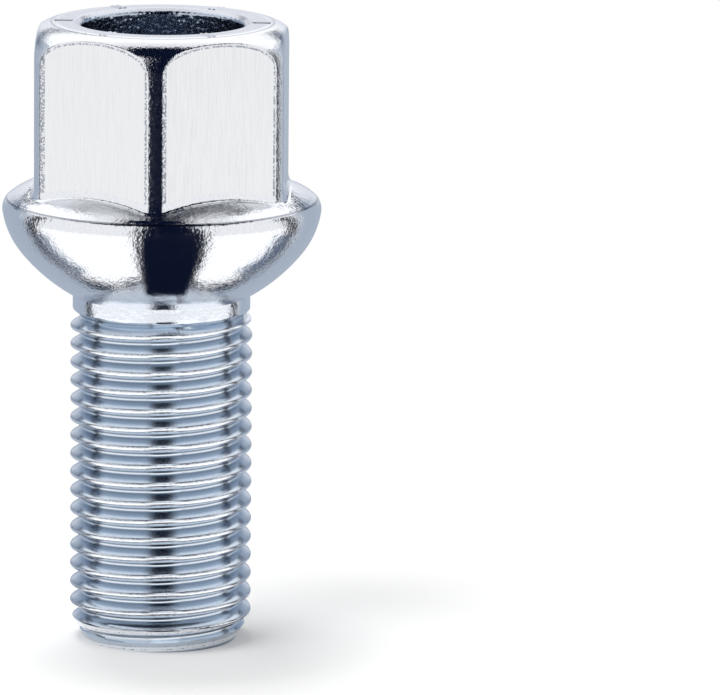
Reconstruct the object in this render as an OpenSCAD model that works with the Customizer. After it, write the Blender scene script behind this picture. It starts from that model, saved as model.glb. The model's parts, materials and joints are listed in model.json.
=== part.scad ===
// Wheel bolt: a forged hexagon head on a ball-seat collar, a short plain neck
// and a threaded shank with a flat end. It stands on that end. The origin is the
// middle of the end face, Z runs up the axis to the head, and one corner of the
// hexagon faces -Y. The thread is drawn as a plain cylinder at its crests.

/* [Shank] */
// Diameter over the thread's crests
thread_d = 14; // [10:0.5:16]
// Length from the end face to the root of the ball
shank_length = 27; // [16:1:60]
// Length of the plain neck under the ball
neck_length = 1.3; // [0.5:0.1:3]
// How much thinner than the thread the neck is, on the diameter
neck_relief = 0.34; // [0.1:0.02:1]
// Width of the bevel at the thread end, on the radius
end_bevel_w = 1.1; // [0.4:0.1:1.6]
// Length of the bevel at the thread end
end_bevel_length = 2; // [0.5:0.1:4]

/* [Ball collar] */
// Radius of the ball that seats in the wheel
ball_r = 14; // [12.5:0.5:16]
// Largest diameter of the collar
collar_d = 24.5; // [22:0.1:28]
// Radius that rounds the rim of the collar
rim_round_r = 1.3; // [0.6:0.1:1.6]
// Height of the rounded rim above the widest part
rim_height = 0.85; // [0.3:0.05:1]
// Fall of the collar's top towards its rim, in degrees
collar_fall = 30; // [15:1:38]

/* [Head] */
// Width of the hexagon across its flats
hex_af = 19; // [16:0.5:20.5]
// How much of each corner is turned away, on the radius
corner_cut = 0.32; // [0.1:0.02:0.6]
// Height of the head above the widest part of the collar
head_height = 14.5; // [10:0.5:24]
// Diameter of the flat ring on top
top_ring_d = 16.8; // [15.2:0.1:18.4]
// How far the rounded top edge drops at the corners
corner_drop = 1.1; // [0.5:0.1:1.2]
// Radius of the fillet at the foot of the flats
foot_fillet_r = 0.7; // [0.3:0.1:1]

/* [Recess] */
// Diameter of the round recess in the head
recess_d = 12.4; // [8:0.1:13.4]
// Depth of the recess below the top ring
recess_depth = 10; // [4:0.5:14]
// Width of the bevel round the mouth of the recess, on the radius
mouth_bevel_w = 0.55; // [0.1:0.05:0.7]
// Depth of the bevel round the mouth of the recess
mouth_bevel_depth = 0.3; // [0.1:0.05:0.6]
// Width of the bevel round the floor of the recess
floor_bevel = 0.8; // [0.3:0.1:1.5]

/* [Marks] */
// Number of raised radial marks on the top ring
mark_count = 6; // [3:1:12]
// Width of one mark
mark_w = 0.4; // [0.2:0.05:0.6]
// Height of one mark above the ring
mark_h = 0.1; // [0.05:0.05:0.4]
// Gap between a mark and each edge of the ring
mark_gap = 0.12; // [0.05:0.01:0.2]

/* [Hidden] */
$fn = 96;

steel = [0.80, 0.84, 0.90];
// Depth to which one solid is sunk into the next, so that they fuse
sink = 0.2;
sides = 6;
half_side = 180 / sides;

thread_r = thread_d / 2;
neck_r = thread_r - neck_relief / 2;
end_r = thread_r - end_bevel_w;

// The collar's outline is three arcs, each tangent to the next: the ball, a
// shoulder and the rounded rim. Angles are measured downwards from level.
collar_r = collar_d / 2;
ball_top_share = 0.888;
ball_top_angle = acos(ball_top_share * collar_r / ball_r);
shoulder_top_angle = 9;
ball_c = [0, shank_length + sqrt(pow(ball_r, 2) - pow(neck_r, 2))];
shoulder_r = (collar_r - ball_r * cos(ball_top_angle) - rim_round_r * (1 - cos(shoulder_top_angle)))
    / (cos(shoulder_top_angle) - cos(ball_top_angle));
shoulder_c = ball_c + (ball_r - shoulder_r) * down(ball_top_angle);
rim_c = shoulder_c + (shoulder_r - rim_round_r) * down(shoulder_top_angle);
ball_top_z = (ball_c + ball_r * down(ball_top_angle))[1];
shoulder_top_z = (shoulder_c + shoulder_r * down(shoulder_top_angle))[1];
rim_top_z = rim_c[1] + rim_height;
rim_top_r = rim_c[0] + sqrt(pow(rim_round_r, 2) - pow(rim_height, 2));

// The head
top_z = rim_c[1] + head_height;
flat_r = hex_af / 2;
corner_r = flat_r / cos(half_side);
land_r = corner_r - corner_cut;
top_ring_r = top_ring_d / 2;
top_edge_w = land_r - top_ring_r;
top_round_r = (pow(top_edge_w, 2) + pow(corner_drop, 2)) / (2 * corner_drop);
top_round_z = top_z - top_round_r;
// The foot spreads from each flat by most of the fillet's radius and ends in six
// tips. The fillet bites a little into the flat's line, so that the two cross.
foot_share = 0.85;
fillet_bite = 0.02;
foot_r = flat_r + foot_share * foot_fillet_r;
fillet_axis_r = flat_r + foot_fillet_r - fillet_bite;
fillet_axis_z = collar_top_z(foot_r) + foot_fillet_r;
tip_spread = 0.45;
tip_r = min(land_r + tip_spread, rim_top_r - tip_spread);

recess_r = recess_d / 2;
floor_z = top_z - recess_depth;

// Unit direction in an outline, turned down from level by an angle
function down(angle) = [cos(angle), -sin(angle)];

// Height of the collar's sloping top at a radius
function collar_top_z(r) = rim_top_z + (rim_top_r - r) * tan(collar_fall);

// Part of an outline between two heights, bounded outside by an arc
module arc_band(low_z, high_z, centre, r) {
    intersection() {
        translate([0, low_z]) square([centre[0] + r, high_z - low_z]);
        union() {
            translate(centre) circle(r);
            if (centre[0] > 0)
                translate([0, low_z]) square([centre[0], high_z - low_z]);
        }
    }
}

module shank() {
    cylinder(h = end_bevel_length, r1 = end_r, r2 = thread_r);
    translate([0, 0, end_bevel_length])
        cylinder(h = shank_length - neck_length - end_bevel_length, r = thread_r);
    translate([0, 0, shank_length - neck_length - sink])
        cylinder(h = neck_length + 2 * sink, r = neck_r);
}

// Each band reaches a little into the one below it, so that they fuse
module collar_outline() {
    intersection() {
        union() {
            arc_band(shank_length - sink, ball_top_z, ball_c, ball_r);
            arc_band(ball_top_z - sink, shoulder_top_z, shoulder_c, shoulder_r);
            arc_band(shoulder_top_z - sink, collar_top_z(0), rim_c, rim_round_r);
        }
        polygon([
            [0, 0],
            [ball_r, 0],
            [ball_r, collar_top_z(ball_r)],
            [0, collar_top_z(0)],
        ]);
    }
}

module collar() {
    rotate_extrude() collar_outline();
}

// Hexagonal prism with a corner towards -Y
module hexagon(across_flats_r, low_z, high_z) {
    translate([0, 0, low_z])
        rotate([0, 0, half_side])
            cylinder(h = high_z - low_z, r = across_flats_r / cos(half_side), $fn = sides);
}

module head_outline() {
    intersection() {
        translate([0, rim_top_z]) square([land_r, head_height]);
        union() {
            arc_band(top_round_z, top_z, [top_ring_r, top_round_z], top_round_r);
            translate([0, rim_top_z]) square([land_r, top_round_z - rim_top_z]);
        }
    }
}

module head() {
    intersection() {
        hexagon(flat_r, rim_top_z, top_z);
        rotate_extrude() head_outline();
    }
}

// Foot of the head: spread along each flat by a hollow fillet
module head_foot() {
    difference() {
        intersection() {
            hexagon(foot_r, rim_top_z, fillet_axis_z);
            cylinder(h = top_z, r = tip_r);
        }
        for (side = [0 : sides - 1])
            rotate([0, 0, side * 2 * half_side])
                translate([fillet_axis_r, 0, fillet_axis_z])
                    rotate([90, 0, 0])
                        cylinder(h = 2 * corner_r, r = foot_fillet_r, center = true);
    }
}

module recess() {
    translate([0, 0, floor_z]) {
        cylinder(h = floor_bevel, r1 = recess_r - floor_bevel, r2 = recess_r);
        translate([0, 0, floor_bevel]) cylinder(h = recess_depth, r = recess_r);
    }
    translate([0, 0, top_z - mouth_bevel_depth])
        cylinder(h = 2 * mouth_bevel_depth, r1 = recess_r, r2 = recess_r + 2 * mouth_bevel_w);
}

module marks() {
    inner_r = recess_r + mouth_bevel_w + mark_gap;
    length = top_ring_r - mark_gap - inner_r;
    for (i = [0 : mark_count - 1])
        rotate([0, 0, i * 360 / mark_count])
            translate([inner_r, -mark_w / 2, top_z - sink])
                cube([length, mark_w, sink + mark_h]);
}

module wheel_bolt() {
    color(steel) {
        difference() {
            union() {
                shank();
                collar();
                head_foot();
                head();
            }
            recess();
        }
        marks();
    }
}

wheel_bolt();
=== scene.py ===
"""Looks of a wheel bolt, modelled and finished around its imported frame.

The bolt is one forged and plated piece, so everything is welded into one skin:
the forging (ball collar, hexagon head and recess) is lofted from meridians, and
the rolled thread and the marks on the top ring are grown by Geometry Nodes.
Lengths are in millimetres until a mesh is written, and in metres after that.
"""

from __future__ import annotations

import json
import logging
import math
from dataclasses import dataclass, field, replace
from enum import Enum
from typing import Any, Callable, Sequence

import bmesh
import bpy
from mathutils import Euler, Matrix, Vector


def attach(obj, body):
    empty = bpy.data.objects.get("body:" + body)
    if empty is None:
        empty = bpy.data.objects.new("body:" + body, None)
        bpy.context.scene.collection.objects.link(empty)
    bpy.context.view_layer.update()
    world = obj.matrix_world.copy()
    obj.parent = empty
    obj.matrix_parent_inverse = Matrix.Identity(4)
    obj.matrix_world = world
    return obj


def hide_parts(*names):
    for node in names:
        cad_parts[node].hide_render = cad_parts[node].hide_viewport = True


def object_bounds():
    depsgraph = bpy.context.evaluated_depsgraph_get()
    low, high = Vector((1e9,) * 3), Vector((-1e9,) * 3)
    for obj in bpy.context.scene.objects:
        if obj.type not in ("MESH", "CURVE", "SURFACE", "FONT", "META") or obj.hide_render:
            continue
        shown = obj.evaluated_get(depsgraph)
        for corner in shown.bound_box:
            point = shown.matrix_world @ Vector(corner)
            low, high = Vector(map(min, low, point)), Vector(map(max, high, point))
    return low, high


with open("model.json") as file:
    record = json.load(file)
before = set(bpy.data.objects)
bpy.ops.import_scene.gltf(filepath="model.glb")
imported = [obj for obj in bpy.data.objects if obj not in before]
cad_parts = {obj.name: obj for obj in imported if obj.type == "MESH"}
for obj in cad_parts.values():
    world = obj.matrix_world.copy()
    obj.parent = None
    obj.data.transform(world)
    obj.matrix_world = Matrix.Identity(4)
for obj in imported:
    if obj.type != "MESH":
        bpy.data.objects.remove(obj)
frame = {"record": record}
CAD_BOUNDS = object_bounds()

LOG = logging.getLogger("wheel_bolt")
MM = 0.001
NODE = "wheel_bolt"
HEX_SIDES = 6
SECTOR = 2 * math.pi / HEX_SIDES
# Pitch of the thread, and height of its first crest towards -Y
PITCH = 1.44
FIRST_CREST = 0.36
# Azimuth of the camera, in degrees from -Y towards +X
VIEW_TURN = 3.3

# Numbers of the Mix node's sockets that serve colours
MIX_COLOUR_INPUTS = (0, 6, 7)
MIX_COLOUR_OUTPUT = 2

Point = tuple[float, float]
Colour = tuple[float, float, float]


# Node trees written as expressions


def operator(operation: str, swapped: bool = False) -> Callable[..., "Sock"]:
    """Makes an operator of Sock that adds a Math node.

    Args:
        operation: the node's operation.
        swapped: whether the other value comes first.

    Returns:
        The operator's method.
    """

    def method(self: "Sock", other: "Sock | float") -> "Sock":
        """Returns the socket joined with another socket or a number."""
        return self.tree.maths(operation, *((other, self) if swapped else (self, other)))

    return method


class Sock:
    """A node's output socket, with operators that add Math nodes."""

    def __init__(self, tree: "Tree", link: Any) -> None:
        """Keeps the tree and the Blender socket."""
        self.tree = tree
        self.link = link

    __add__ = operator("ADD")
    __radd__ = operator("ADD", swapped=True)
    __sub__ = operator("SUBTRACT")
    __rsub__ = operator("SUBTRACT", swapped=True)
    __mul__ = operator("MULTIPLY")
    __rmul__ = operator("MULTIPLY", swapped=True)
    __truediv__ = operator("DIVIDE")

    def __neg__(self) -> "Sock":
        """Returns -self."""
        return self * -1.0


class Tree:
    """A shader or geometry node tree that is built from Python expressions."""

    def __init__(self, group: bpy.types.NodeTree) -> None:
        """Keeps the Blender node tree that is added to."""
        self.group = group

    def feed(self, node: bpy.types.Node, inputs: dict[Any, Any]) -> None:
        """Links or sets inputs of a node.

        Args:
            node: the node.
            inputs: Sock or plain value for each input, by name or number.
        """
        for key, value in inputs.items():
            if isinstance(value, Sock):
                self.group.links.new(value.link, node.inputs[key])
            else:
                node.inputs[key].default_value = value

    def node(
        self,
        kind: str,
        inputs: dict[Any, Any] | None = None,
        output: Any = 0,
        **settings: Any,
    ) -> Sock:
        """Adds a node, sets it up and fills its sockets.

        Args:
            kind: Blender's type name of the node.
            inputs: Sock or plain value for each input, by name or number.
            output: name or number of the output that is wanted.
            settings: properties of the node, such as its operation.

        Returns:
            The wanted output.
        """
        made = self.group.nodes.new(kind)
        for name, value in settings.items():
            setattr(made, name, value)
        self.feed(made, inputs or {})
        return Sock(self, made.outputs[output])

    def maths(self, operation: str, *values: "Sock | float") -> Sock:
        """Adds a Math node and returns its result."""
        return self.node("ShaderNodeMath", dict(enumerate(values)), operation=operation)

    def smooth(self, value: Sock, low: float | Sock, high: float | Sock) -> Sock:
        """Adds a smooth step.

        Args:
            value: what is compared with the two limits.
            low: limit below which the step gives 0.
            high: limit above which it gives 1.

        Returns:
            The step, which rises smoothly between the limits.
        """
        return self.node(
            "ShaderNodeMapRange",
            {"Value": value, "From Min": low, "From Max": high},
            interpolation_type="SMOOTHSTEP",
        )

    def stroke(self, value: Sock, centre: float, half_width: float, core: float = 0.4) -> Sock:
        """Returns a soft line: 1 near the centre, 0 beyond its half width, full over its core."""
        off = self.maths("ABSOLUTE", value - centre)
        return 1.0 - self.smooth(off, core * half_width, half_width)

    def mix(self, share: Sock | float, first: Any, second: Any) -> Sock:
        """Returns a colour between two colours, which are given with alpha."""
        inputs = dict(zip(MIX_COLOUR_INPUTS, (share, first, second)))
        return self.node("ShaderNodeMix", inputs, output=MIX_COLOUR_OUTPUT, data_type="RGBA")

    def vector(self, **parts: Sock | float) -> Sock:
        """Joins parts named X, Y and Z into a vector."""
        return self.node("ShaderNodeCombineXYZ", parts)

    def split(self, vector: Sock) -> tuple[Sock, ...]:
        """Returns the three parts of a vector."""
        made = self.node("ShaderNodeSeparateXYZ", {0: vector}).link.node
        return tuple(Sock(self, output) for output in made.outputs)

    def radius(self, x: Sock, y: Sock) -> Sock:
        """Returns the distance of a place from the Z axis."""
        return self.maths("SQRT", x * x + y * y)

    def seen(self) -> Sock:
        """Returns 1 for what the camera sees, directly, mirrored or through glass, else 0.

        Returns:
            The largest of three outputs of the Light Path node.
        """
        rays = self.node("ShaderNodeLightPath").link.node.outputs
        kinds = ("Is Camera Ray", "Is Glossy Ray", "Is Transmission Ray")
        direct, mirrored, through = (Sock(self, rays[kind]) for kind in kinds)
        return self.maths("MAXIMUM", direct, self.maths("MAXIMUM", mirrored, through))

    def ramp(self, value: Sock, stops: Sequence[tuple[float, Colour]]) -> Sock:
        """Returns the colour that a ramp gives a value.

        Args:
            value: place along the ramp, from 0 to 1.
            stops: place and linear colour of each stop.

        Returns:
            The ramp's colour.
        """
        ramp = self.node("ShaderNodeValToRGB", {0: value})
        elements = ramp.link.node.color_ramp.elements
        while len(elements) < len(stops):
            elements.new(0.5)
        while len(elements) > len(stops):
            elements.remove(elements[-1])
        for element, (place, colour) in zip(elements, stops):
            element.position = place
            element.color = (*colour, 1.0)
        return ramp


def new_material(name: str) -> tuple[bpy.types.Material, Tree, bpy.types.Node]:
    """Makes a material with Blender's usual shader.

    Args:
        name: name of the material.

    Returns:
        The material, its tree and its Principled shader.
    """
    material = bpy.data.materials.new(name)
    material.use_nodes = True
    tree = Tree(material.node_tree)
    return material, tree, tree.group.nodes["Principled BSDF"]


# Sizes of the bolt


def mount_radius(name: str) -> float:
    """Returns the radius in millimetres of one of the record's round mounts."""
    mounts = {mount["name"]: mount for mount in frame["record"]["mounts"]}
    return mounts[name]["dims"]["r_mm"]


def arc(centre: Point, radius: float, start: float, end: float, count: int) -> list[Point]:
    """Returns points along an arc of a meridian.

    Args:
        centre: radius and height of the arc's centre.
        radius: radius of the arc.
        start: angle of the first point above level, in radians.
        end: angle of the last point.
        count: number of steps along the arc.

    Returns:
        count + 1 points as radius and height.
    """
    points = []
    for step in range(count + 1):
        angle = start + (end - start) * step / count
        points.append((centre[0] + radius * math.cos(angle), centre[1] + radius * math.sin(angle)))
    return points


def straight(start: Point, end: Point, shares: Sequence[float]) -> list[Point]:
    """Sets points on the straight way between two places.

    Args:
        start: where the way begins.
        end: where it ends.
        shares: shares of the way at which there is a point.

    Returns:
        One point for each share.
    """
    return [
        (start[0] + (end[0] - start[0]) * share, start[1] + (end[1] - start[1]) * share)
        for share in shares
    ]


def eased_corner(before: Point, corner: Point, after: Point, count: int) -> list[Point]:
    """Rounds a corner with a quadratic curve.

    Args:
        before: where the curve leaves the first side.
        corner: where the two sides would meet.
        after: where the curve joins the second side.
        count: number of steps along the curve.

    Returns:
        count + 1 points from before to after.
    """
    points = []
    for step in range(count + 1):
        t = step / count
        weights = ((1 - t) ** 2, 2 * t * (1 - t), t**2)
        points.append(
            tuple(
                weights[0] * before[axis] + weights[1] * corner[axis] + weights[2] * after[axis]
                for axis in (0, 1)
            )
        )
    return points


def smooth_min(first: float, second: float, blend: float) -> float:
    """Returns the smaller of two lengths, rounded where they are within blend."""
    overlap = max(blend - abs(first - second), 0.0) / blend
    return min(first, second) - overlap**2 * blend / 4


@dataclass(frozen=True)
class Columns:
    """Directions round the axis at which every part of the skin has points.

    They gather at the hexagon's corners, so that its rounded edges are fine
    and its flats are coarse. Angle 0 is the corner towards -Y.
    """

    count: int = 216
    gather: float = 0.6

    def angles(self) -> list[float]:
        """Returns the angle of each column, in radians."""
        steps = [2 * math.pi * i / self.count for i in range(self.count)]
        return [a - self.gather / HEX_SIDES * math.sin(HEX_SIDES * a) for a in steps]


@dataclass(frozen=True)
class BoltSizes:
    """Driving sizes of the bolt in millimetres, as in the part's source."""

    thread_r: float = field(default_factory=lambda: mount_radius("thread"))
    recess_r: float = field(default_factory=lambda: mount_radius("head_recess"))
    height: float = (CAD_BOUNDS[1][2] - CAD_BOUNDS[0][2]) / MM
    collar_r: float = min(abs(edge) for corner in CAD_BOUNDS for edge in corner[:2]) / MM
    shank_length: float = 27.0
    neck_r: float = 6.83
    end_r: float = 5.9
    end_bevel: float = 2.0
    ball_r: float = 14.0
    rim_round_r: float = 1.3
    rim_height: float = 0.85
    collar_fall: float = math.radians(30)
    flat_r: float = 9.5
    land_r: float = 10.65
    top_ring_r: float = 8.4
    recess_depth: float = 10.0
    mouth_bevel_w: float = 0.55
    mouth_bevel_depth: float = 0.3
    mark_h: float = 0.1
    mark_gap: float = 0.12

    @property
    def top_z(self) -> float:
        """Height of the top ring."""
        return self.height - self.mark_h


class Zone(Enum):
    """Parts of the skin that came off the tools with a finish of their own, several of which also carry
    painted light and shade.
    """

    FLATS = 0
    COLLAR = 1
    THREAD = 2
    RECESS = 3
    RING = 4
    LAND = 5


# The forging


@dataclass(frozen=True)
class Forging:
    """Collar, hexagon head and recess, lofted from one meridian per column.

    Attributes:
        sizes: driving sizes of the bolt.
        columns: directions that get a meridian.
        ball_top_share: radius at which the ball ends, as a share of the collar's.
        shoulder_top: angle above level at which the shoulder meets the rim.
        edge_ease: length of the easing at the collar's upper edge.
        crown: how far the collar's sloping top bulges.
        crown_rows: shares of the way up that top at which it has points.
        flat_blend: width over which a flat and its corner run together.
        foot_r: half of the foot's width across its flats.
        foot_tip_r: radius of the foot's six tips.
        foot_rise: height of the hollow fillet over the foot.
        foot_blend: width over which the foot's flats and tips run together.
        dome_r: radius of the domed edge over the hexagon.
        land_blur: width by which the corners' finish reaches over the flats.
        top_ease: length of the easing between a flat and the dome.
        end_rows: distances from a flat's ends at which it has points.
        lip_ease: length of the easing between the ring and the recess's bevel.
        throat_ease: length of the easing between that bevel and the wall.
        floor_round: radius of the corner round the recess's floor.
    """

    sizes: BoltSizes
    columns: Columns
    ball_top_share: float = 0.888
    shoulder_top: float = math.radians(-9)
    edge_ease: float = 0.16
    crown: float = 0.06
    crown_rows: tuple[float, ...] = (0.2, 0.4, 0.6, 0.8, 0.97)
    flat_blend: float = 0.08
    foot_r: float = 10.0
    foot_tip_r: float = 11.05
    foot_rise: float = 0.72
    foot_blend: float = 0.3
    dome_r: float = 2.6
    land_blur: float = 0.12
    top_ease: float = 0.22
    end_rows: Point = (0.12, 0.3)
    lip_ease: float = 0.1
    throat_ease: float = 0.18
    floor_round: float = 0.9

    def collar(self) -> list[Point]:
        """Works out the outline of the collar.

        Returns:
            Its points from the ball's root to the rim's upper edge.
        """
        s = self.sizes
        ball_c = (0.0, s.shank_length + math.sqrt(s.ball_r**2 - s.neck_r**2))
        ball_top = -math.acos(self.ball_top_share * s.collar_r / s.ball_r)
        shoulder_r = (
            s.collar_r
            - s.ball_r * math.cos(ball_top)
            - s.rim_round_r * (1 - math.cos(self.shoulder_top))
        ) / (math.cos(self.shoulder_top) - math.cos(ball_top))
        shoulder_c = arc(ball_c, s.ball_r - shoulder_r, ball_top, ball_top, 1)[0]
        rim_c = arc(shoulder_c, shoulder_r - s.rim_round_r, self.shoulder_top, self.shoulder_top, 1)[0]
        rim_top = math.asin(s.rim_height / s.rim_round_r)
        return (
            arc(ball_c, s.ball_r, -math.acos(s.neck_r / s.ball_r), ball_top, 16)[:-1]
            + arc(shoulder_c, shoulder_r, ball_top, self.shoulder_top, 8)[:-1]
            + arc(rim_c, s.rim_round_r, self.shoulder_top, rim_top, 10)
        )

    def flat_radius(self, angle: float, across: float, limit: float, blend: float) -> float:
        """Returns a hexagon's radius at an angle, with its corners turned to a limit."""
        from_flat = abs(angle % SECTOR - SECTOR / 2)
        return smooth_min(across / math.cos(from_flat), limit, blend)

    def meridian(self, angle: float) -> list[tuple[Zone, list[Point]]]:
        """Returns the forging's outline in one direction, root to floor centre.

        Args:
            angle: direction from the -Y corner, in radians.

        Returns:
            The outline's stretches in order, each with its finish.
        """
        s = self.sizes
        collar = self.collar()
        edge = collar.pop()
        foot_r = self.flat_radius(angle, self.foot_r, self.foot_tip_r, self.foot_blend)
        foot = (foot_r, edge[1] + (edge[0] - foot_r) * math.tan(s.collar_fall))
        flat_r = self.flat_radius(angle, s.flat_r, s.land_r, self.flat_blend)
        length = math.hypot(foot[0] - edge[0], foot[1] - edge[1])
        outward = ((foot[1] - edge[1]) / length, (edge[0] - foot[0]) / length)
        eased = straight(edge, foot, [self.edge_ease / length])[0]
        collar += eased_corner(collar[-1], edge, eased, 3)[1:]
        for share in self.crown_rows:
            bulge = self.crown * 4 * share * (1 - share)
            x, z = straight(edge, foot, [share])[0]
            collar.append((x + outward[0] * bulge, z + outward[1] * bulge))
        collar.append(foot)
        collar += self.fillet(foot, flat_r)[1:]
        flat, dome = self.flat_and_dome(flat_r, collar[-1][1])
        ring, recess = self.ring_and_recess()
        on_land = math.cos(abs(angle % SECTOR - SECTOR / 2)) < s.flat_r / (s.land_r - self.land_blur)
        return [
            (Zone.COLLAR, collar),
            (Zone.LAND if on_land else Zone.FLATS, flat),
            (Zone.LAND, dome),
            (Zone.RING, ring),
            (Zone.RECESS, recess),
        ]

    def fillet(self, foot: Point, flat_r: float) -> list[Point]:
        """Returns the hollow fillet from the collar's top up to a flat.

        Args:
            foot: radius and height at which the fillet starts.
            flat_r: radius of the flat or corner that it runs into.

        Returns:
            Its points from the foot up.
        """
        points = []
        steps = 9
        for step in range(steps + 1):
            turn = math.pi / 2 * step / steps
            points.append(
                (
                    flat_r + (foot[0] - flat_r) * (1 - math.sin(turn)),
                    foot[1] + self.foot_rise * (1 - math.cos(turn)),
                )
            )
        return points

    def flat_and_dome(self, flat_r: float, start_z: float) -> tuple[list[Point], list[Point]]:
        """Returns the outline up a flat, and on over the domed edge to the ring.

        Args:
            flat_r: radius of the flat or corner in this direction.
            start_z: height at which the fillet ends.

        Returns:
            The points of the flat, and those of the dome.
        """
        s = self.sizes
        dome_c = (s.land_r - self.dome_r, s.top_z - self.dome_r)
        meet = math.acos((flat_r - dome_c[0]) / self.dome_r)
        corner = (flat_r, dome_c[1] + self.dome_r * math.sin(meet))
        past = meet + self.top_ease / self.dome_r
        dome = arc(dome_c, self.dome_r, past, math.pi / 2, 12)
        before = (flat_r, corner[1] - self.top_ease)
        height = before[1] - start_z
        near, far = (row / height for row in self.end_rows)
        flat_rows = [near, far, 0.35, 0.65, 1 - far, 1 - near]
        flat = straight((flat_r, start_z), before, flat_rows) + [before]
        return flat, eased_corner(before, corner, dome[0], 5)[1:] + dome[1:]

    def ring_and_recess(self) -> tuple[list[Point], list[Point]]:
        """Works out the outline of the head's top and of its recess.

        Returns:
            The points of the ring with its lip, and those of the recess.
        """
        s = self.sizes
        lip_r = s.recess_r + s.mouth_bevel_w
        floor_z = s.top_z - s.recess_depth
        lip = (lip_r, s.top_z)
        throat = (s.recess_r, s.top_z - s.mouth_bevel_depth)
        ring_start = (s.land_r - self.dome_r, s.top_z)
        ring = straight(ring_start, (lip_r + self.lip_ease, s.top_z), [0.06, 0.3, 0.7, 0.94, 1])
        ring += eased_corner(ring[-1], lip, straight(lip, throat, [0.2])[0], 3)[1:]
        ring += straight(lip, throat, [0.7])
        throat_end = (s.recess_r, throat[1] - self.throat_ease)
        mouth = eased_corner(ring[-1], throat, throat_end, 4)[1:]
        round_c = (s.recess_r - self.floor_round, floor_z + self.floor_round)
        wall_end = (s.recess_r, round_c[1])
        wall = straight(throat_end, wall_end, [0.02, 0.2, 0.4, 0.6, 0.8, 0.98])
        corner = arc(round_c, self.floor_round, 0.0, -math.pi / 2, 5)
        floor = straight((round_c[0], floor_z), (0.0, floor_z), [0.05, 0.35, 0.7])
        return ring, mouth + wall + corner + floor

    def mesh(self) -> bpy.types.Mesh:
        """Lofts the meridians into a mesh that is open only at the ball's root.

        Returns:
            The mesh in metres, with faces outwards and finishes by zone.
        """
        angles = self.columns.angles()
        vertices = []
        zones = []
        for angle in angles:
            for zone, stretch in self.meridian(angle):
                for radius, z in stretch:
                    x, y = radius * math.sin(angle), -radius * math.cos(angle)
                    vertices.append((x * MM, y * MM, z * MM))
                    zones.append(zone.value)
        rows = len(vertices) // len(angles)
        pole = len(vertices)
        vertices.append((0.0, 0.0, vertices[-1][2]))
        faces = []
        finishes = []
        for i in range(len(angles)):
            here, there = i * rows, (i + 1) % len(angles) * rows
            for j in range(rows - 1):
                faces.append((here + j, there + j, there + j + 1, here + j + 1))
                finishes.append(zones[here + j + 1])
            faces.append((here + rows - 1, there + rows - 1, pole))
            finishes.append(Zone.RECESS.value)
        mesh = bpy.data.meshes.new("forging")
        mesh.from_pydata(vertices, [], faces)
        mesh.polygons.foreach_set("material_index", finishes)
        return mesh


# The thread and the marks, grown by Geometry Nodes


SOCKET_TYPES = {
    int: "NodeSocketInt",
    float: "NodeSocketFloat",
    bpy.types.Material: "NodeSocketMaterial",
}


class Grower:
    """A geometry tree with named inputs, which is built and then run once."""

    def __init__(self, name: str, values: dict[str, Any]) -> None:
        """Starts the tree with one input for each value and a mesh as its output.

        Args:
            name: name of the tree.
            values: value of each named input, lengths in metres.
        """
        group = bpy.data.node_groups.new(name, "GeometryNodeTree")
        for label, value in values.items():
            group.interface.new_socket(label, in_out="INPUT", socket_type=SOCKET_TYPES[type(value)])
        group.interface.new_socket("Mesh", in_out="OUTPUT", socket_type="NodeSocketGeometry")
        entry = group.nodes.new("NodeGroupInput")
        self.values = values
        self.tree = Tree(group)
        self.given = {label: Sock(self.tree, entry.outputs[label]) for label in values}

    def mesh(self, geometry: Sock) -> bpy.types.Mesh:
        """Ends the tree in Realize Instances and Set Material, and runs it.

        Args:
            geometry: what the tree has made so far.

        Returns:
            The tree's result as a plain mesh, with no modifier left.
        """
        real = self.tree.node("GeometryNodeRealizeInstances", {"Geometry": geometry})
        dressed = {"Geometry": real, "Material": self.given["Material"]}
        group = self.tree.group
        leave = group.nodes.new("NodeGroupOutput")
        self.tree.feed(leave, {0: self.tree.node("GeometryNodeSetMaterial", dressed)})
        holder = bpy.data.objects.new(group.name, bpy.data.meshes.new(group.name))
        bpy.context.scene.collection.objects.link(holder)
        modifier = holder.modifiers.new(group.name, "NODES")
        modifier.node_group = group
        for item in group.interface.items_tree:
            if item.in_out == "INPUT":
                modifier[item.identifier] = self.values[item.name]
        bpy.context.view_layer.update()
        depsgraph = bpy.context.evaluated_depsgraph_get()
        grown = bpy.data.meshes.new_from_object(holder.evaluated_get(depsgraph))
        bpy.data.objects.remove(holder)
        return grown


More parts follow.
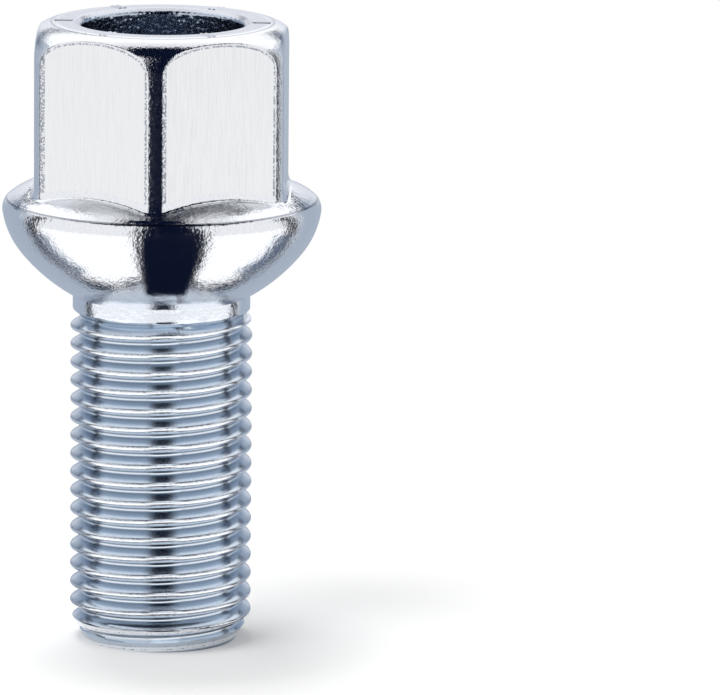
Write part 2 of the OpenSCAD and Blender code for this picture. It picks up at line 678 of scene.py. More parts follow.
@dataclass(frozen=True)
class RolledThread:
    """Shank with its thread: a sheet wound up the axis along the helix.

    Every row of the sheet follows the helix, so crests and roots stay crisp.

    Attributes:
        sizes: driving sizes of the bolt.
        columns: directions that get a column of the sheet.
        pitch: pitch of the thread.
        depth: depth of its groove.
        start: height of the first crest towards -Y.
        last_crest: height at which the groove starts to run out.
        run_out: height over which it runs out.
        neck_start: height at which the neck's shoulder ends.
        neck_slope: fall of that shoulder's radius with its depth below the neck.
        weld: distance within which points are joined, in metres.
        profile: rows of one turn, each a share of the pitch and of the depth.
    """

    sizes: BoltSizes
    columns: Columns
    pitch: float = PITCH
    depth: float = 0.84
    start: float = FIRST_CREST
    last_crest: float = 25.0
    run_out: float = 0.6
    neck_start: float = 25.9
    neck_slope: float = 1.15
    weld: float = 2e-6
    profile: tuple[Point, ...] = (
        (0.000, 0.000),
        (0.055, 0.012),
        (0.105, 0.055),
        (0.155, 0.150),
        (0.300, 0.540),
        (0.450, 0.900),
        (0.510, 0.985),
        (0.560, 1.000),
        (0.610, 0.985),
        (0.655, 0.900),
        (0.775, 0.480),
        (0.885, 0.100),
        (0.925, 0.030),
        (0.965, 0.004),
    )

    def inputs(self, finish: bpy.types.Material) -> dict[str, Any]:
        """Gathers what the tree is given.

        Args:
            finish: material of the shank.

        Returns:
            The value of each input by its name, lengths in metres.
        """
        s = self.sizes
        turns = math.ceil(s.shank_length / self.pitch) + 3
        return {
            "Columns": self.columns.count,
            "Rows": turns * len(self.profile) + 1,
            "Gather": self.columns.gather,
            "Pitch": self.pitch * MM,
            "Depth": self.depth * MM,
            "Start": self.start * MM,
            "Crest Radius": s.thread_r * MM,
            "Neck Radius": s.neck_r * MM,
            "End Radius": s.end_r * MM,
            "End Bevel": s.end_bevel * MM,
            "Last Crest": self.last_crest * MM,
            "Run Out": self.run_out * MM,
            "Neck Start": self.neck_start * MM,
            "Neck Slope": self.neck_slope,
            "Shank Length": s.shank_length * MM,
            "Material": finish,
        }

    def mesh(self, finish: bpy.types.Material) -> bpy.types.Mesh:
        """Winds the sheet.

        Args:
            finish: material of the shank.

        Returns:
            The shank, open at the ball's root and at its end face.
        """
        grower = Grower("rolled_thread", self.inputs(finish))
        tree, given = grower.tree, grower.given
        columns = given["Columns"]
        sheet = tree.node("GeometryNodeMeshGrid", {"Vertices X": given["Rows"], "Vertices Y": columns + 1})
        index = tree.node("GeometryNodeInputIndex")
        row = tree.maths("FLOOR", (index + 0.5) / (columns + 1))
        column = index - row * (columns + 1)
        around = 2 * math.pi * (column / columns)
        angle = around - given["Gather"] / HEX_SIDES * tree.maths("SINE", HEX_SIDES * around)
        full_turns = tree.maths("FLOOR", (row + 0.5) / len(self.profile))
        place = row - full_turns * len(self.profile)
        along, cut = (self.pick(tree, place, shares) for shares in zip(*self.profile))
        wound = full_turns + along + angle / (2 * math.pi)
        free_z = given["Start"] + (wound - 2) * given["Pitch"]
        z = tree.maths("MAXIMUM", tree.maths("MINIMUM", free_z, given["Shank Length"]), 0.0)
        fade = tree.smooth(z, given["Last Crest"], given["Last Crest"] + given["Run Out"])
        groove = given["Crest Radius"] - given["Depth"] * tree.maths("MAXIMUM", cut, fade)
        below_neck = tree.maths("MAXIMUM", given["Neck Start"] - z, 0.0)
        neck = given["Neck Radius"] - below_neck * given["Neck Slope"]
        shank = tree.maths("MAXIMUM", groove, neck)
        bevel_rise = (given["Crest Radius"] - given["End Radius"]) / given["End Bevel"]
        radius = tree.maths("MINIMUM", shank, given["End Radius"] + z * bevel_rise)
        level_y = -(radius * tree.maths("COSINE", angle))
        position = tree.vector(X=radius * tree.maths("SINE", angle), Y=level_y, Z=z)
        wound_sheet = tree.node("GeometryNodeSetPosition", {"Geometry": sheet, "Position": position})
        welding = {"Geometry": wound_sheet, "Distance": self.weld}
        return grower.mesh(tree.node("GeometryNodeMergeByDistance", welding))

    def pick(self, tree: Tree, place: Sock, values: Sequence[float]) -> Sock:
        """Returns the value that belongs to a row's place in its turn.

        Args:
            tree: the tree to add to.
            place: number of the row in its turn.
            values: value of each row of a turn.

        Returns:
            The row's value.
        """
        picked = tree.node("GeometryNodeIndexSwitch", data_type="FLOAT")
        switch = picked.link.node
        while len(switch.index_switch_items) < len(values):
            switch.index_switch_items.new()
        tree.feed(switch, {0: place, **dict(enumerate(values, 1))})
        return Sock(tree, switch.outputs[0])


@dataclass(frozen=True)
class RingMarks:
    """Raised radial marks on the top ring, each a pair of ridges over one flat.

    Attributes:
        sizes: driving sizes of the bolt.
        ridge_r: radius to which a ridge is rounded.
        ridge_h: height of a ridge over the ring.
        spacing: distance between the two ridges of a mark.
        count: number of marks.
    """

    sizes: BoltSizes
    ridge_r: float = 0.20
    ridge_h: float = 0.08
    spacing: float = 0.40
    count: int = HEX_SIDES

    def inputs(self, finish: bpy.types.Material) -> dict[str, Any]:
        """Gathers what the tree is given.

        Args:
            finish: material of the marks.

        Returns:
            The value of each input by its name, lengths in metres.
        """
        s = self.sizes
        inner = s.recess_r + s.mouth_bevel_w + s.mark_gap
        outer = s.top_ring_r - s.mark_gap
        return {
            "Count": self.count,
            "Middle Radius": (inner + outer) / 2 * MM,
            "Length": (outer - inner) * MM,
            "Ridge Radius": self.ridge_r * MM,
            "Spacing": self.spacing * MM,
            "Top": (s.top_z + self.ridge_h - self.ridge_r) * MM,
            "Material": finish,
        }

    def mesh(self, finish: bpy.types.Material) -> bpy.types.Mesh:
        """Sets a pair of rounded bars at each point of a ring.

        Args:
            finish: material of the marks.

        Returns:
            The marks, with the lower part of each ridge sunk into the ring.
        """
        grower = Grower("ring_marks", self.inputs(finish))
        tree, given = grower.tree, grower.given
        ends = {
            "Start": tree.vector(X=given["Length"] * -0.5),
            "End": tree.vector(X=given["Length"] * 0.5),
        }
        section = {"Resolution": 16, "Radius": given["Ridge Radius"]}
        ridge = {
            "Curve": tree.node("GeometryNodeCurvePrimitiveLine", ends),
            "Profile Curve": tree.node("GeometryNodeCurvePrimitiveCircle", section, output="Curve"),
            "Fill Caps": True,
        }
        pair = {
            "Count": 2,
            "Start Location": tree.vector(Y=given["Spacing"] * -0.5),
            "Offset": tree.vector(Y=given["Spacing"]),
        }
        mark = {
            "Points": tree.node("GeometryNodeMeshLine", pair),
            "Instance": tree.node("GeometryNodeCurveToMesh", ridge),
        }
        ring = {"Vertices": given["Count"], "Radius": given["Middle Radius"]}
        index = tree.node("GeometryNodeInputIndex")
        marks = {
            "Points": tree.node("GeometryNodeMeshCircle", ring),
            "Instance": tree.node("GeometryNodeInstanceOnPoints", mark),
            "Rotation": tree.vector(Z=index / given["Count"] * (2 * math.pi)),
        }
        lifted = {
            "Geometry": tree.node("GeometryNodeInstanceOnPoints", marks),
            "Translation": tree.vector(Z=given["Top"]),
        }
        return grower.mesh(tree.node("GeometryNodeTransform", lifted))


# Finishes


@dataclass(frozen=True)
class Look:
    """What a finish makes of a place on the surface."""

    colour: Sock
    roughness: Sock
    height: Sock

    def inked(self, share: Sock, ink: Colour) -> "Look":
        """Returns this look with a share of its colour turned into another."""
        return replace(self, colour=self.colour.tree.mix(share, self.colour, (*ink, 1.0)))


@dataclass(frozen=True)
class Plating:
    """Bright zinc plating over one kind of worked steel.

    Attributes:
        name: name of the finish.
        colour: linear colour of the metal.
        roughness: roughness of the smoothest spots.
        spread: how much rougher the dull spots are.
        grain: size of the surface's pits, in millimetres.
        relief: height of that grain, in millimetres.
        stretch: how much longer the grain is along Z.
        swell: size of the wider swellings, in millimetres.
        swell_relief: height of the swellings, in millimetres.
        dulling: share of the colour that the dull spots keep.
        spot_range: values of the grain between which a spot turns dull.
        noise_detail: how many finer layers the noise has.
        noise_roughness: how strong those layers are.
    """

    name: str
    colour: Colour
    roughness: float
    spread: float
    grain: float
    relief: float
    stretch: float = 1.0
    swell: float = 1.0
    swell_relief: float = 0.0
    dulling: float = 0.93
    spot_range: Point = (0.38, 0.68)
    noise_detail: float = 2.0
    noise_roughness: float = 0.55

    def noise(self, tree: Tree, place: Sock, size: float, stretch: float = 1.0) -> Sock:
        """Returns noise that is drawn out along Z.

        Args:
            tree: the tree to add to.
            place: where the noise is read, in metres.
            size: size of its cells, in millimetres.
            stretch: how much longer they are along Z.

        Returns:
            The noise, from 0 to 1.
        """
        drawn = tree.node(
            "ShaderNodeVectorMath",
            {0: place, 1: (1.0, 1.0, 1.0 / stretch)},
            operation="MULTIPLY",
        )
        layers = {"Detail": self.noise_detail, "Roughness": self.noise_roughness}
        sized = {"Vector": drawn, "Scale": 1 / (size * MM), **layers}
        return tree.node("ShaderNodeTexNoise", sized, output="Fac")

    def look(self, tree: Tree, place: Sock) -> Look:
        """Works out the finish at a place.

        Args:
            tree: the tree to add to.
            place: the place on the surface, in metres.

        Returns:
            Its colour, roughness and height.
        """
        grain = self.noise(tree, place, self.grain, self.stretch)
        swell = self.noise(tree, place, self.swell)
        spots = tree.smooth(grain, *self.spot_range)
        dull = tuple(self.dulling * c for c in self.colour)
        return Look(
            tree.mix(spots, (*self.colour, 1.0), (*dull, 1.0)),
            self.roughness + self.spread * spots,
            grain * (self.relief * MM) + swell * (self.swell_relief * MM),
        )

    def material(self) -> bpy.types.Material:
        """Builds the finish as a material.

        Returns:
            A metal whose colour, roughness and relief vary over the surface.
        """
        material, tree, shader = new_material(self.name)
        look = self.look(tree, tree.node("ShaderNodeTexCoord", output="Object"))
        bump = tree.node("ShaderNodeBump", {"Height": look.height, "Strength": 1.0, "Distance": 1.0})
        varied = {"Base Color": look.colour, "Roughness": look.roughness, "Normal": bump}
        tree.feed(shader, {"Metallic": 1.0, **varied})
        return material


@dataclass(frozen=True)
class SeamShadedPlating(Plating):
    """Plating with thin dark lines where worked faces meet: painted shade in a line round the axis, and a
    broken dark line along the flats' edges.

    Attributes:
        seam_r: radius of the line round the axis, in millimetres.
        seam_z: height above which that line shows, in millimetres.
        seam_w: half of its width, in millimetres.
        seam_shade_share: how dark the painted shade of that line is, from 0 to 1.
        edge_share: how dark the broken line along the flats is, or 0 for none.
        edge_w: width of that line, measured towards the axis.
        edge_break: size of its breaks, in millimetres.
        edge_range: values of the noise between which it breaks off.
        flat_r: distance of the flats from the axis, in millimetres.
        ink: linear colour of the lines.
    """

    seam_r: float = 11.93
    seam_z: float = 34.3
    seam_w: float = 0.10
    seam_shade_share: float = 0.6
    edge_share: float = 0.0
    edge_w: float = 0.035
    edge_break: float = 0.16
    edge_range: Point = (0.44, 0.52)
    flat_r: float = 9.5
    ink: Colour = (0.04, 0.06, 0.11)

    def look(self, tree: Tree, place: Sock) -> Look:
        """Works out the finish at a place, with the lines drawn into its colour.

        Args:
            tree: the tree to add to.
            place: the place on the surface, in metres.

        Returns:
            Its colour, roughness and height.
        """
        base = super().look(tree, place)
        x, y, z = tree.split(place)
        # Painted shade: a thin dark line round the axis where two worked faces meet.
        seam_shade = tree.stroke(tree.radius(x, y), self.seam_r * MM, self.seam_w * MM, core=0.3)
        high = tree.smooth(z, (self.seam_z - 0.1) * MM, self.seam_z * MM)
        seam_shaded = base.inked(seam_shade * high * self.seam_shade_share, self.ink)
        if not self.edge_share:
            return seam_shaded
        reach = tree.maths("ABSOLUTE", x)
        for side in (0.5, 2.5):
            across = x * math.sin(side * SECTOR) - y * math.cos(side * SECTOR)
            reach = tree.maths("MAXIMUM", reach, tree.maths("ABSOLUTE", across))
        edge = tree.stroke(reach, self.flat_r * MM, self.edge_w * MM)
        broken = tree.smooth(self.noise(tree, place, self.edge_break), *self.edge_range)
        return seam_shaded.inked(edge * broken * self.edge_share, self.ink)


@dataclass(frozen=True)
class RolledPlating(Plating):
    """Plating on a rolled thread: bands of painted highlight and bluish painted shade across each turn,
    broken lines of painted shade beside the crests, and a dented neck.

    Attributes:
        tones: linear colour at each share of the pitch, up from a crest, which paints highlights and shade
            in bands across each turn.
        pitch: pitch of the thread, in millimetres.
        start: height of the first crest towards -Y, in millimetres.
        crest_roughness: roughness added on the crests.
        crest_r: radii between which a flank turns into a crest, in millimetres.
        neck_z: heights between which the groove turns into the neck.
        neck_colour: linear colour of the neck.
        neck_dent: size of the dents in the neck, in millimetres.
        neck_relief: depth of those dents, in millimetres.
        crest_shade_lines: shares of the pitch at which broken lines of painted shade edge the crest.
        crest_shade_w: half of their width, as a share of the pitch.
        crest_shade_break: size of their breaks, in millimetres.
        crest_shade_stretch: how much longer those are along Z.
        crest_shade_range: values of the noise between which the lines break off.
        crest_shade_colour: linear colour of the painted shade lines.
    """

    tones: tuple[tuple[float, Colour], ...] = (
        (0.00, (0.90, 0.92, 0.96)),
        (0.035, (0.88, 0.91, 0.96)),
        (0.08, (0.55, 0.60, 0.67)),
        (0.16, (0.56, 0.62, 0.70)),
        (0.24, (0.53, 0.61, 0.71)),
        (0.33, (0.47, 0.56, 0.67)),
        (0.43, (0.43, 0.52, 0.63)),
        (0.49, (0.60, 0.68, 0.77)),
        (0.54, (0.80, 0.85, 0.91)),
        (0.60, (0.38, 0.44, 0.52)),
        (0.67, (0.26, 0.30, 0.36)),
        (0.75, (0.50, 0.56, 0.63)),
        (0.82, (0.92, 0.95, 1.00)),
        (1.00, (0.90, 0.92, 0.96)),
    )
    pitch: float = PITCH
    start: float = FIRST_CREST
    crest_roughness: float = 0.04
    crest_r: Point = (6.86, 6.96)
    neck_z: Point = (25.5, 25.9)
    neck_colour: Colour = (0.80, 0.84, 0.90)
    neck_dent: float = 0.45
    neck_relief: float = 0.03
    crest_shade_lines: tuple[float, ...] = (0.075, 0.90)
    crest_shade_w: float = 0.026
    crest_shade_break: float = 0.20
    crest_shade_stretch: float = 0.4
    crest_shade_range: Point = (0.53, 0.58)
    crest_shade_colour: Colour = (0.08, 0.10, 0.14)

    def look(self, tree: Tree, place: Sock) -> Look:
        """Works out the finish at a place, from its share of the pitch and its height.

        Args:
            tree: the tree to add to.
            place: the place on the surface, in metres.

        Returns:
            Its colour, roughness and height.
        """
        base = super().look(tree, place)
        x, y, z = tree.split(place)
        around = tree.maths("ARCTAN2", x, -y) / (2 * math.pi)
        wound = (z / MM - self.start) / self.pitch - around
        share = tree.maths("FRACT", wound + 2.0)
        on_neck = tree.smooth(z, *(height * MM for height in self.neck_z))
        worn = tree.smooth(tree.radius(x, y), *(r * MM for r in self.crest_r)) * (1.0 - on_neck)
        # The ramp paints highlights and shade into the thread by its share of the pitch.
        tone = tree.mix(on_neck, tree.ramp(share, self.tones), (*self.neck_colour, 1.0))
        # Broken lines of painted shade beside each crest.
        breaks = self.noise(tree, place, self.crest_shade_break, self.crest_shade_stretch)
        broken = tree.smooth(breaks, *self.crest_shade_range)
        for shade_line in self.crest_shade_lines:
            line = tree.stroke(share, shade_line, self.crest_shade_w) * (1.0 - on_neck)
            tone = tree.mix(line * broken, tone, (*self.crest_shade_colour, 1.0))
        spots = tree.node("ShaderNodeVectorMath", {0: tone, 1: base.colour}, operation="MULTIPLY")
        dents = self.noise(tree, place, self.neck_dent)
        height = base.height + dents * on_neck * (self.neck_relief * MM)
        return Look(spots, base.roughness + self.crest_roughness * worn, height)


@dataclass(frozen=True)
class PunchedPlating(Plating):
    """Plating in the punched recess, which is crazed into small cells.

    Attributes:
        cell: size of a cell, in millimetres.
        cell_relief: height of a cell over its edges, in millimetres.
    """

    cell: float = 0.30
    cell_relief: float = 0.045

    def look(self, tree: Tree, place: Sock) -> Look:
        """Works out the finish at a place, with the cells added to its height.

        Args:
            tree: the tree to add to.
            place: the place on the surface, in metres.

        Returns:
            Its colour, roughness and height.
        """
        base = super().look(tree, place)
        cells = tree.node(
            "ShaderNodeTexVoronoi",
            {"Vector": place, "Scale": 1 / (self.cell * MM)},
            output="Distance",
            feature="SMOOTH_F1",
        )
        return replace(base, height=base.height - cells * (self.cell_relief * MM))


FINISHES = {
    Zone.FLATS: Plating(
        name="brushed_plating",
        colour=(0.85, 0.86, 0.88),
        roughness=0.20,
        spread=0.10,
        grain=0.07,
        relief=0.0010,
        stretch=40.0,
        dulling=0.94,
    ),
    Zone.COLLAR: SeamShadedPlating(
        name="forged_plating",
        colour=(0.83, 0.85, 0.89),
        roughness=0.05,
        spread=0.06,
        grain=0.16,
        relief=0.0140,
        swell=0.45,
        swell_relief=0.024,
    ),
    Zone.THREAD: RolledPlating(
        name="rolled_plating",
        colour=(1.0, 1.0, 1.0),
        roughness=0.13,
        spread=0.10,
        grain=0.10,
        relief=0.0030,
        dulling=0.94,
    ),
    Zone.RECESS: PunchedPlating(
        name="punched_plating",
        # Darker than the plating elsewhere: painted shade in the recess.
        colour=(0.48, 0.54, 0.64),
        roughness=0.10,
        spread=0.12,
        grain=0.18,
        relief=0.010,
    ),
    Zone.RING: Plating(
        name="faced_plating",
        # Darker than the plating elsewhere: painted shade on the top ring.
        colour=(0.63, 0.65, 0.71),
        roughness=0.20,
        spread=0.12,
        grain=0.12,
        relief=0.0020,
        dulling=0.92,
    ),
    Zone.LAND: SeamShadedPlating(
        name="trimmed_plating",
        colour=(0.82, 0.84, 0.88),
        roughness=0.06,
        spread=0.08,
        grain=0.10,
        relief=0.0065,
        swell=0.22,
        swell_relief=0.018,
        # A line of painted shade where the domed edge meets the top ring.
        seam_r=8.52,
        seam_z=47.9,
        seam_w=0.14,
        seam_shade_share=0.5,
        edge_share=0.6,
    ),
}


# The whole bolt


@dataclass
class WheelBolt:
    """The bolt's skin: forging, thread and marks in one mesh.

    Attributes:
        sizes: driving sizes of the bolt.
        columns: directions that the forging and the thread share.
        weld: distance within which the two are joined, in metres.
        crisp_angle: angle between faces above which an edge is sharp.
    """

    sizes: BoltSizes = field(default_factory=BoltSizes)
    columns: Columns = field(default_factory=Columns)
    weld: float = 1.5e-6
    crisp_angle: float = math.radians(38)

    def build(self) -> bpy.types.Object:
        """Makes the bolt and seats it in the frame.

        Returns:
            The bolt's object, which replaces the plain solid.
        """
        finishes = {zone: plating.material() for zone, plating in FINISHES.items()}
        skin = bmesh.new()
        skin.from_mesh(Forging(self.sizes, self.columns).mesh())
        self.add(skin, RolledThread(self.sizes, self.columns).mesh(finishes[Zone.THREAD]), Zone.THREAD)
        bmesh.ops.remove_doubles(skin, verts=skin.verts, dist=self.weld)
        self.close_end(skin)
        bmesh.ops.recalc_face_normals(skin, faces=skin.faces)
        self.add(skin, RingMarks(self.sizes).mesh(finishes[Zone.RING]), Zone.RING)
        mesh = bpy.data.meshes.new(NODE + "_skin")
        skin.to_mesh(mesh)
        skin.free()
        for zone in Zone:
            mesh.materials.append(finishes[zone])
        mesh.shade_smooth()
        mesh.set_sharp_from_angle(angle=self.crisp_angle)
        bolt = bpy.data.objects.new("bolt_skin", mesh)
        bpy.context.scene.collection.objects.link(bolt)
        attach(bolt, "root")
        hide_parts(NODE)
        LOG.info("bolt_skin: %d vertices, %d faces", len(mesh.vertices), len(mesh.polygons))
        return bolt

    def add(self, skin: bmesh.types.BMesh, mesh: bpy.types.Mesh, zone: Zone) -> None:
        """Adds a mesh to the skin and gives its faces a zone.

        Args:
            skin: the skin to add to.
            mesh: the mesh to add.
            zone: the zone of its faces.
        """
        known = len(skin.faces)
        skin.from_mesh(mesh)
        skin.faces.ensure_lookup_table()
        for face in skin.faces[known:]:
            face.material_index = zone.value

    def close_end(self, skin: bmesh.types.BMesh) -> None:
        """Closes the flat end face with a ring of triangles round its centre.

        Args:
            skin: the skin, open only at that face.
        """
        rim = [edge for edge in skin.edges if edge.is_boundary]
        LOG.info("open edges at the end face: %d", len(rim))
        centre = skin.verts.new((0.0, 0.0, 0.0))
        for edge in rim:
            face = skin.faces.new((*edge.verts, centre))
            face.material_index = Zone.THREAD.value


# The studio


@dataclass(frozen=True)
class Card:
    """A board that only the metal sees: a level strip that turns up into a wall.

    Attributes:
        name: name of the board.
        tones: linear colour at each elevation, in degrees, from the bolt.
        near: azimuths of its two sides at its inner edge, in degrees.
        far: azimuths of its two sides at its outer edge.
        inner_r: radius of its inner edge, in millimetres.
        outer_r: radius of its outer edge, where a wall stands on it.
        top: elevation of the wall's top, or 0 for no wall.
        lift: height of the level strip, in millimetres.
        soft: share of its width over which it fades out at either side.
    """

    name: str
    tones: tuple[tuple[float, Colour], ...]
    near: tuple[float, float]
    far: tuple[float, float]
    inner_r: float = 9.0
    outer_r: float = 420.0
    top: float = 0.0
    lift: float = 0.05
    soft: float = 0.0


BLACK = (0.0, 0.0, 0.0, 1.0)
WHITE = (1.0, 1.0, 1.0, 1.0)
GLOW: Colour = (1.25, 1.25, 1.25)
NAVY: Colour = (0.004, 0.007, 0.022)
INK: Colour = (0.03, 0.05, 0.10)
STEEL: Colour = (0.15, 0.19, 0.27)
SLATE: Colour = (0.44, 0.50, 0.59)
HAZE: Colour = (0.82, 0.84, 0.90)
FLAG = ((0.0, NAVY),)
INKED = ((0.0, INK),)
SHADE = ((0.0, STEEL),)
GREY = ((0.0, SLATE),)
LIT = ((0.0, GLOW),)
BACK = ((-2.0, SLATE), (0.5, SLATE), (3.0, HAZE), (14.0, HAZE), (24.0, GLOW))

CARDS = (
    Card("front_flag", FLAG, (-11, 16), (-23, 35), inner_r=8.3, top=66, lift=26.7, soft=0.14),
    Card("under_glow", LIT, (-8, 13), (-19, 31), inner_r=8.4, outer_r=415, lift=26.5),
    Card("floor_flag", FLAG, (-24, 28), (-21, 25), inner_r=13, outer_r=48, soft=0.33),
    Card("left_shade", SHADE, (-116, -84), (-116, -88), inner_r=22, outer_r=75, soft=0.3),
    Card("right_shade", SHADE, (84, 116), (88, 116), inner_r=22, outer_r=75, soft=0.3),
    # A dark sheet round the base that the metal mirrors in place of the floor's contact shadow: painted
    # shadow.
    Card("base_flag", FLAG, (-95, 100), (-92, 96), inner_r=7.8, outer_r=11, lift=0.06, soft=0.04),
    Card("left_glow", LIT, (-96, -8), (-98, -14), outer_r=130, lift=0.03),
    Card("right_glow", LIT, (8, 92), (17, 98), outer_r=130, lift=0.03),
    # Two dark sheets beside the base that the metal mirrors in place of the floor's contact shadow: painted
    # shadow.
    Card("left_foot", FLAG, (-106, -74), (-127, -104), inner_r=10.5, outer_r=20, lift=0.07, soft=0.15),
    Card("right_foot", FLAG, (78, 106), (106, 127), inner_r=10.5, outer_r=20, lift=0.07, soft=0.15),
    Card("left_flag", FLAG, (-127, -104), (-114, -97), inner_r=20, top=34, soft=0.3),
    Card("right_flag", FLAG, (106, 127), (97, 114), inner_r=20, top=34, soft=0.3),
    Card("left_slate", GREY, (-168, -114), (-168, -110), outer_r=405, top=30, lift=0.04, soft=0.25),
    Card("right_slate", GREY, (114, 168), (110, 168), outer_r=405, top=30, lift=0.04, soft=0.25),
    Card("back_board", BACK, (118, 242), (118, 246), top=62, lift=0.02),
)


@dataclass(frozen=True)
class Band:
    """A dark band behind the bolt that only the metal sees.

    Attributes:
        name: name of the band.
        course: azimuth, lower and upper elevation at places along it, in degrees.
        radius: distance at which it hangs, in millimetres.
        soft: share of its height over which it fades out at either edge.
    """

    name: str
    course: tuple[tuple[float, float, float], ...]
    radius: float = 385.0
    soft: float = 0.2


BANDS = (
    Band("left_band", ((-134, 16, 21), (-146, 20, 26.5), (-153, 23.5, 31), (-165, 24, 32), (-175, 26, 31))),
    Band("right_band", ((135, 25, 29), (140, 24, 30.5), (148, 25, 34.5), (157, 26, 34), (167, 25, 31))),
)


@dataclass(frozen=True)
class Lamp:
    """A soft square lamp that points at the bolt.

    Attributes:
        name: name of the lamp.
        azimuth: direction in which it hangs, in degrees.
        elevation: its angle above the floor.
        size: side of the square in millimetres.
        power: power in watts.
    """

    name: str
    azimuth: float
    elevation: float
    size: float
    power: float


LAMPS = (
    Lamp("key_lamp", azimuth=-50.0, elevation=61.0, size=350.0, power=1.9),
    Lamp("back_lamp", azimuth=198.0, elevation=76.0, size=240.0, power=2.2),
)


@dataclass(frozen=True)
class CardPaint:
    """Self-lit paint of a board.

    Attributes:
        name: name of the paint, which its board shares.
        tones: linear colour at each elevation, in degrees.
        soft: share of the board's width over which it fades out at either side.
        span: elevations that the ramp of tones covers, from half of it down to half up.
    """

    name: str
    tones: tuple[tuple[float, Colour], ...]
    soft: float = 0.0
    span: float = 180.0

    def material(self) -> bpy.types.Material:
        """Builds the paint as a material.

        Returns:
            A black surface that glows in the tone of each place's elevation.
        """
        material, tree, shader = new_material(self.name)
        brightest = max(max(colour) for _, colour in self.tones)
        stops = [
            ((elevation + self.span / 2) / self.span, tuple(c / brightest for c in colour))
            for elevation, colour in self.tones
        ]
        x, y, z = tree.split(tree.node("ShaderNodeTexCoord", output="Object"))
        elevation = tree.maths("ARCTAN2", z, tree.radius(x, y)) * (180.0 / math.pi)
        glow = {
            "Emission Color": tree.ramp(elevation / self.span + 0.5, stops),
            "Emission Strength": brightest,
        }
        tree.feed(shader, {"Base Color": BLACK, "Roughness": 1.0, "Specular IOR Level": 0.0, **glow})
        if self.soft:
            across, _, _ = tree.split(tree.node("ShaderNodeTexCoord", output="UV"))
            inside = tree.maths("MINIMUM", across, 1.0 - across)
            share = tree.smooth(inside, 0.0, self.soft)
            clear = tree.node("ShaderNodeBsdfTransparent")
            faded = {0: share, 1: clear, 2: Sock(tree, shader.outputs[0])}
            surface = tree.node("ShaderNodeMixShader", faded)
            tree.feed(tree.group.nodes["Material Output"], {"Surface": surface})
        return material


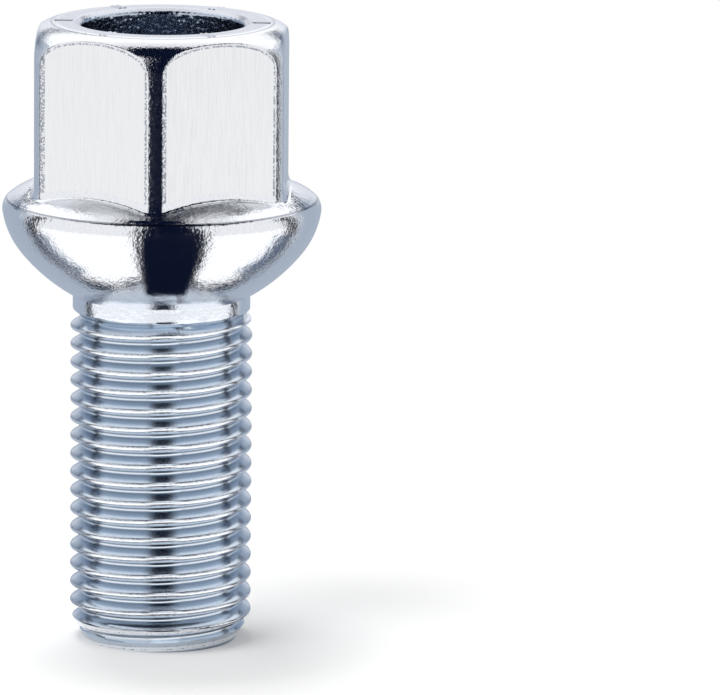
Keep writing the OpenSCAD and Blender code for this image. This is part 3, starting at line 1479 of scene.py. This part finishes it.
@dataclass(frozen=True)
class Studio:
    """Pale floor, soft light, and boards that the bright metal mirrors.

    Azimuths are seen from the bolt: 0 is towards the camera, positive turns to
    the camera's right.

    Attributes:
        turn: azimuth of the camera from -Y, in degrees.
        floor_reach: half of the floor's width.
        floor_drop: depth of the floor under the end face.
        lit_r: radius within which the floor shows the bolt's shadow in full.
        white_r: radius from which it is an even white.
        shadow_lift: light that the seen floor gives off, which softens the shadow.
        world_level: strength of the world's light.
        lamp_r: distance of the lamps.
        card_steps: number of steps across a board.
        wall_rows: shares of a wall's height at which it has points.
        canopy_height: height of the canopy.
        canopy_outline: its corners to the right and to the front, in heights.
    """

    turn: float = VIEW_TURN
    floor_reach: float = 4000.0
    floor_drop: float = 0.02
    lit_r: float = 25.0
    white_r: float = 60.0
    shadow_lift: float = 0.11
    world_level: float = 0.40
    lamp_r: float = 700.0
    card_steps: int = 24
    wall_rows: tuple[float, ...] = (0.0, 0.1, 0.3, 0.6, 1.0)
    canopy_height: float = 800.0
    canopy_outline: tuple[Point, ...] = (
        (-0.70, 0.34),
        (-0.38, 0.62),
        (0.44, 0.62),
        (0.80, 0.34),
        (0.92, -0.12),
        (0.60, -0.12),
        (0.60, 0.10),
        (0.34, 0.10),
        (0.20, -0.13),
        (-0.15, -0.14),
        (-0.27, -0.14),
        (-0.36, 0.12),
        (-0.60, 0.10),
        (-0.70, 0.00),
        (-0.72, -0.15),
        (-0.92, -0.20),
    )

    def direction(self, azimuth: float) -> Vector:
        """Returns the level direction of an azimuth in degrees."""
        angle = math.radians(azimuth + self.turn)
        return Vector((math.sin(angle), -math.cos(angle), 0.0))

    def place(self, azimuth: float, radius: float, z: float) -> Vector:
        """Returns the point at an azimuth, a radius and a height."""
        return self.direction(azimuth) * radius + Vector((0, 0, z))

    def add_mesh(
        self, name: str, points: list[Vector], faces: list[tuple[int, ...]]
    ) -> bpy.types.Object:
        """Makes a stage object.

        Args:
            name: name of the object.
            points: its points, in millimetres.
            faces: the points of each face.

        Returns:
            The object, with no material yet.
        """
        mesh = bpy.data.meshes.new(name)
        mesh.from_pydata([point * MM for point in points], [], faces)
        thing = bpy.data.objects.new(name, mesh)
        bpy.context.scene.collection.objects.link(thing)
        return thing

    def board(
        self,
        paint: CardPaint,
        points: list[Vector],
        faces: list[tuple[int, ...]],
        across: Sequence[float] = (),
    ) -> None:
        """Makes a painted board that only reflections show.

        Args:
            paint: its paint, which also gives its name.
            points: its points, in millimetres.
            faces: the points of each face.
            across: share of the board's width at which each point lies.
        """
        board = self.add_mesh(paint.name, points, faces)
        if across:
            sides = board.data.uv_layers.new(name="across")
            for loop, corner in zip(board.data.loops, sides.data):
                corner.uv = (across[loop.vertex_index], 0.0)
        board.data.materials.append(paint.material())
        for ray in ("camera", "diffuse", "shadow", "transmission"):
            setattr(board, f"visible_{ray}", False)

    def card(self, card: Card) -> None:
        """Hangs one board round the bolt.

        Args:
            card: its sizes and paint.
        """
        top_z = card.outer_r * math.tan(math.radians(card.top))
        rows = self.wall_rows if card.top else (0.0,)
        heights = [card.lift + (top_z - card.lift) * row for row in rows]
        points: list[Vector] = []
        across: list[float] = []
        for step in range(self.card_steps + 1):
            share = step / self.card_steps
            near, far = (side[0] + (side[1] - side[0]) * share for side in (card.near, card.far))
            points.append(self.place(near, card.inner_r, card.lift))
            points += [self.place(far, card.outer_r, z) for z in heights]
            across += [share] * (len(heights) + 1)
        stride = len(heights) + 1
        faces = [
            (start, start + stride, start + stride + 1, start + 1)
            for step in range(self.card_steps)
            for start in range(step * stride, step * stride + stride - 1)
        ]
        self.board(CardPaint(card.name, card.tones, card.soft), points, faces, across)

    def band(self, band: Band) -> None:
        """Hangs one dark band behind the bolt.

        Args:
            band: its course.
        """
        points = [
            self.place(azimuth, band.radius, band.radius * math.tan(math.radians(edge)))
            for azimuth, *edges in band.course
            for edge in edges
        ]
        faces = [(i, i + 2, i + 3, i + 1) for i in range(0, len(points) - 2, 2)]
        across = [0.0, 1.0] * len(band.course)
        self.board(CardPaint(band.name, INKED, band.soft), points, faces, across)

    def canopy(self) -> None:
        """Hangs the dark canopy that the metal mirrors overhead."""
        front = self.direction(0.0)
        right = self.direction(90.0)
        lift = Vector((0, 0, self.canopy_height))
        points = [(right * x + front * y) * self.canopy_height + lift for x, y in self.canopy_outline]
        self.board(CardPaint("canopy", FLAG), points, [tuple(range(len(points)))])

    def floor(self) -> None:
        """Lays the white floor, which runs into an even white away from the bolt."""
        corners = [
            Vector((x * self.floor_reach, y * self.floor_reach, -self.floor_drop))
            for x, y in ((-1, -1), (1, -1), (1, 1), (-1, 1))
        ]
        floor = self.add_mesh("floor", corners, [(0, 1, 2, 3)])
        material, tree, shader = new_material("floor_white")
        lift = tree.mix(tree.seen(), BLACK, (self.shadow_lift,) * 3 + (1.0,))
        chalk = {"Base Color": (0.93, 0.93, 0.93, 1.0), "Roughness": 0.9, "Specular IOR Level": 0.0}
        tree.feed(shader, {**chalk, "Emission Color": lift, "Emission Strength": 1.0})
        white = tree.node("ShaderNodeEmission", {"Color": WHITE, "Strength": 1.0})
        x, y, _ = tree.split(tree.node("ShaderNodeTexCoord", output="Object"))
        away = tree.smooth(tree.radius(x, y), self.lit_r * MM, self.white_r * MM)
        lit = Sock(tree, shader.outputs[0])
        blend = tree.node("ShaderNodeMixShader", {0: away * tree.seen(), 1: lit, 2: white})
        tree.feed(tree.group.nodes["Material Output"], {"Surface": blend})
        floor.data.materials.append(material)

    def lamp(self, lamp: Lamp) -> None:
        """Hangs one lamp.

        Args:
            lamp: its place, size and power.
        """
        data = bpy.data.lights.new(lamp.name, "AREA")
        data.size = lamp.size * MM
        data.energy = lamp.power
        hung = bpy.data.objects.new(lamp.name, data)
        level = math.radians(lamp.elevation)
        away = self.place(lamp.azimuth, math.cos(level), math.sin(level))
        hung.location = away * self.lamp_r * MM
        hung.rotation_euler = away.to_track_quat("Z", "Y").to_euler()
        hung.visible_glossy = False
        bpy.context.scene.collection.objects.link(hung)

    def world(self) -> None:
        """Surrounds everything with even white light."""
        world = bpy.data.worlds.new("studio")
        world.use_nodes = True
        tree = Tree(world.node_tree)
        strength = self.world_level + (1.0 - self.world_level) * tree.seen()
        tree.feed(tree.group.nodes["Background"], {"Color": WHITE, "Strength": strength})
        bpy.context.scene.world = world

    def build(self) -> None:
        """Sets up the whole studio."""
        self.floor()
        for card in CARDS:
            self.card(card)
        for band in BANDS:
            self.band(band)
        self.canopy()
        for lamp in LAMPS:
            self.lamp(lamp)
        self.world()
        boards = len(CARDS) + len(BANDS)
        LOG.info("studio: floor, %d boards, canopy and %d lamps", boards, len(LAMPS))


@dataclass(frozen=True)
class PhotoCamera:
    """Camera at the photograph's angle.

    Attributes:
        distance: level distance from the bolt's axis.
        height: height over the end face.
        turn: azimuth from -Y, in degrees.
        pitch: how far it looks down.
        yaw: how far it looks to the right of the axis.
        roll: how far it leans.
        lens: focal length for a sensor 36 mm wide.
    """

    distance: float = 608.1
    height: float = 144.0
    turn: float = VIEW_TURN
    pitch: float = 11.27
    yaw: float = 1.442
    roll: float = 0.522
    lens: float = 402.36

    def build(self) -> None:
        """Places the camera and makes it the scene's own."""
        data = bpy.data.cameras.new("photo_camera")
        data.sensor_width = 36.0
        data.lens = self.lens
        data.clip_start = 0.01
        data.clip_end = 100.0
        camera = bpy.data.objects.new("photo_camera", data)
        turn = math.radians(self.turn)
        camera.location = (
            self.distance * math.sin(turn) * MM,
            -self.distance * math.cos(turn) * MM,
            self.height * MM,
        )
        aim = Euler((math.radians(90.0 - self.pitch), 0.0, turn - math.radians(self.yaw)))
        aimed = aim.to_matrix() @ Matrix.Rotation(math.radians(self.roll), 3, "Z")
        camera.rotation_euler = aimed.to_euler()
        bpy.context.scene.collection.objects.link(camera)
        bpy.context.scene.camera = camera


def main() -> None:
    """Builds the camera, the bolt and the studio in that order."""
    logging.basicConfig(level=logging.INFO, format="%(name)s: %(message)s")
    bpy.context.scene.view_settings.view_transform = "Standard"
    PhotoCamera().build()
    WheelBolt().build()
    Studio().build()


if __name__ == "__main__":
    main()
